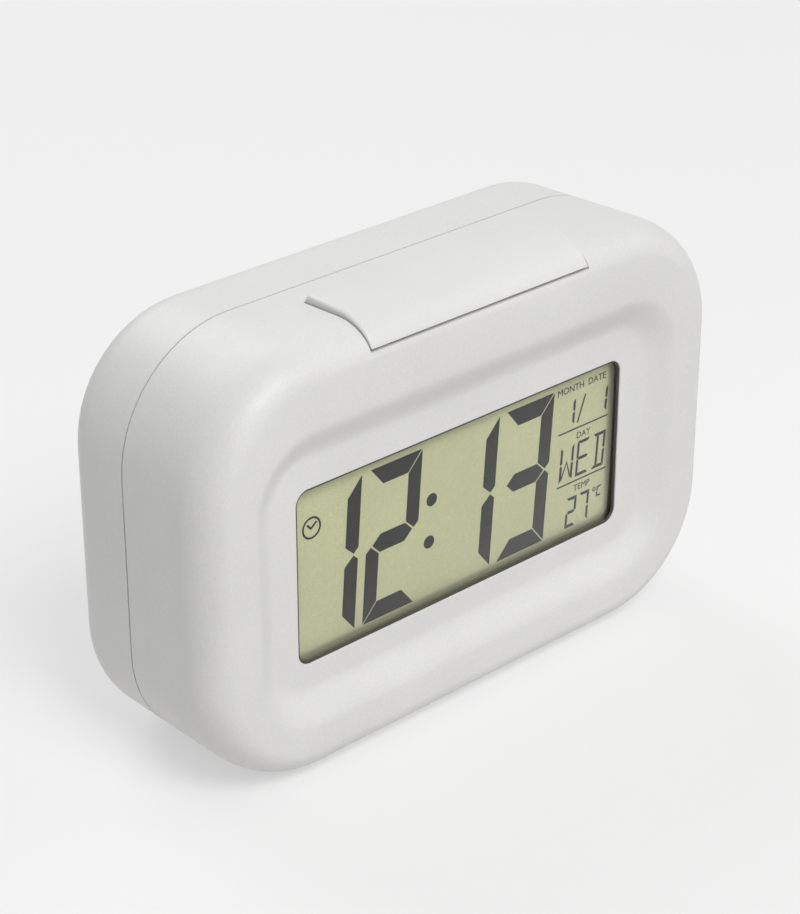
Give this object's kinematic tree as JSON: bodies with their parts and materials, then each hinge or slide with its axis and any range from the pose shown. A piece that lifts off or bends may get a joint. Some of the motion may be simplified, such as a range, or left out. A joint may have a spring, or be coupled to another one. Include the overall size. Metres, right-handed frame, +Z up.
{
  "type": "digital clock",
  "caption": "Rounded table clock with a dished front, a liquid crystal display window, a snooze bar on top, keys on the back and a battery door.",
  "frame": {"origin": "middle of the flat base, halfway between the front crest and the tips of the rear keys", "axes": "+Z up, the display faces -Y, +X to the right as the reader sees it"},
  "size_m": [0.136, 0.0472, 0.0913],
  "materials": {
    "case_white": "fine satin moulded ABS",
    "button_white": "satin moulded caps",
    "clear_lens": "clear acrylic window",
    "lcd_glass": "grey green liquid crystal display",
    "acrylic": "milky clear acrylic",
    "inner_white": "white moulded frame",
    "conductive_rubber": "layered rubber",
    "circuit_board": "green solder mask",
    "black_resin": "cast resin",
    "switch_metal": "tinned steel",
    "switch_black": "black nylon",
    "screw_steel": "zinc plated",
    "contact_nickel": "nickel plated sheet and wire",
    "sounder_brass": "brass disc with white ceramic",
    "cell_jacket": "plain wrapped cell",
    "lead_red": "lead insulation",
    "lead_black": "lead insulation",
    "cable_grey": "flat cable"
  },
  "bodies": {
    "housing": {"front_case": "case_white", "rear_case": "case_white", "display_lens": "clear_lens", "lcd_front_glass": "lcd_glass", "lcd_rear_glass": "lcd_glass", "light_guide": "acrylic", "backlight_led": "acrylic", "lcd_holder": "inner_white", "zebra_strip_upper": "conductive_rubber", "zebra_strip_lower": "conductive_rubber", "main_board": "circuit_board", "chip_cover": "black_resin", "crystal": "switch_metal", "thermistor": "black_resin", "snooze_switch_left": "switch_metal", "snooze_switch_right": "switch_metal", "board_screw_1": "screw_steel", "board_screw_2": "screw_steel", "board_screw_3": "screw_steel", "board_screw_4": "screw_steel", "case_screw_1": "screw_steel", "case_screw_2": "screw_steel", "case_screw_3": "screw_steel", "case_screw_4": "screw_steel", "key_board": "circuit_board", "key_switch_mode": "switch_metal", "key_switch_set": "switch_metal", "key_switch_up": "switch_metal", "key_switch_down": "switch_metal", "key_board_screw_left": "screw_steel", "key_board_screw_right": "screw_steel", "buzzer_disc": "sounder_brass", "battery_1": "cell_jacket", "battery_2": "cell_jacket", "battery_3": "cell_jacket", "contact_positive": "contact_nickel", "contact_negative": "contact_nickel", "contact_link_left": "contact_nickel", "contact_link_right": "contact_nickel", "battery_wire_red": "lead_red", "battery_wire_black": "lead_black", "buzzer_wire_red": "lead_red", "buzzer_wire_black": "lead_black", "ribbon_cable": "cable_grey"},
    "snooze": {"snooze_bar": "case_white", "snooze_plunger_left": "switch_black", "snooze_plunger_right": "switch_black"},
    "mode_key": {"mode_button": "button_white", "key_plunger_mode": "switch_black"},
    "set_key": {"set_button": "button_white", "key_plunger_set": "switch_black"},
    "up_key": {"up_button": "button_white", "key_plunger_up": "switch_black"},
    "down_key": {"down_button": "button_white", "key_plunger_down": "switch_black"},
    "door": {"battery_door": "case_white"}
  },
  "joints": [
    {"name": "snooze_press", "type": "slide", "parent": "housing", "child": "snooze", "axis": [0, 0, -1], "range_m": [0, 0.0006], "stiffness_N_per_m": 1500},
    {"name": "mode_press", "type": "slide", "parent": "housing", "child": "mode_key", "axis": [0, -1, 0], "range_m": [0, 0.0005], "stiffness_N_per_m": 800},
    {"name": "set_press", "type": "slide", "parent": "housing", "child": "set_key", "axis": [0, -1, 0], "range_m": [0, 0.0005], "stiffness_N_per_m": 800},
    {"name": "up_press", "type": "slide", "parent": "housing", "child": "up_key", "axis": [0, -1, 0], "range_m": [0, 0.0005], "stiffness_N_per_m": 800},
    {"name": "down_press", "type": "slide", "parent": "housing", "child": "down_key", "axis": [0, -1, 0], "range_m": [0, 0.0005], "stiffness_N_per_m": 800},
    {"name": "door_tilt", "type": "hinge", "parent": "housing", "child": "door", "pos_m": [0, 0.0224, 0.0103], "axis": [-1, 0, 0], "range_deg": [0, 60]}
  ]
}
